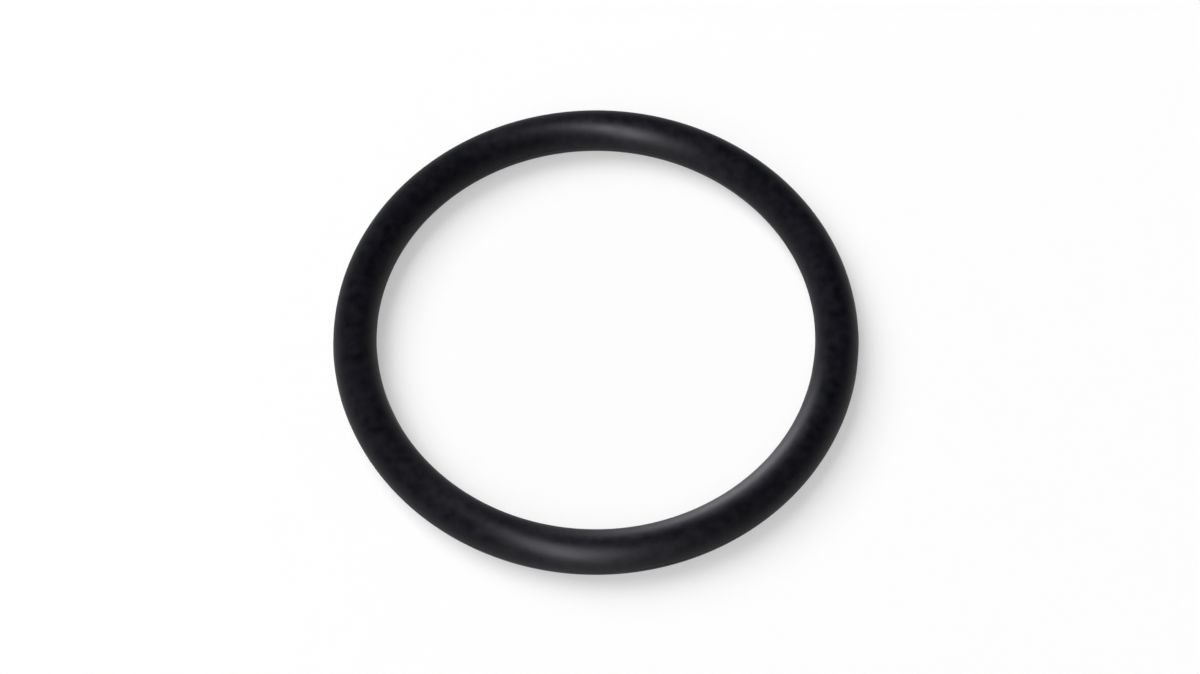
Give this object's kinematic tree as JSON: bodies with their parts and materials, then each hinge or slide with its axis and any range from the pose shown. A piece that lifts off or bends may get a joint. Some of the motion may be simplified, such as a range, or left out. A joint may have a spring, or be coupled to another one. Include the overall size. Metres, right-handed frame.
{
  "type": "o-ring",
  "caption": "Black rubber O-ring with a round section, a static or sliding seal that sits in a groove between a shaft and its housing.",
  "frame": {"origin": "centre of the ring, at the middle of its height", "axes": "+Z along the ring's axis, upwards as it lies flat; X and Y are any two directions in the ring's plane"},
  "size_m": [0.0432, 0.0432, 0.0036],
  "materials": {
    "nitrile_rubber": "satin"
  },
  "bodies": {
    "root": {"o_ring": "nitrile_rubber"}
  },
  "joints": []
}
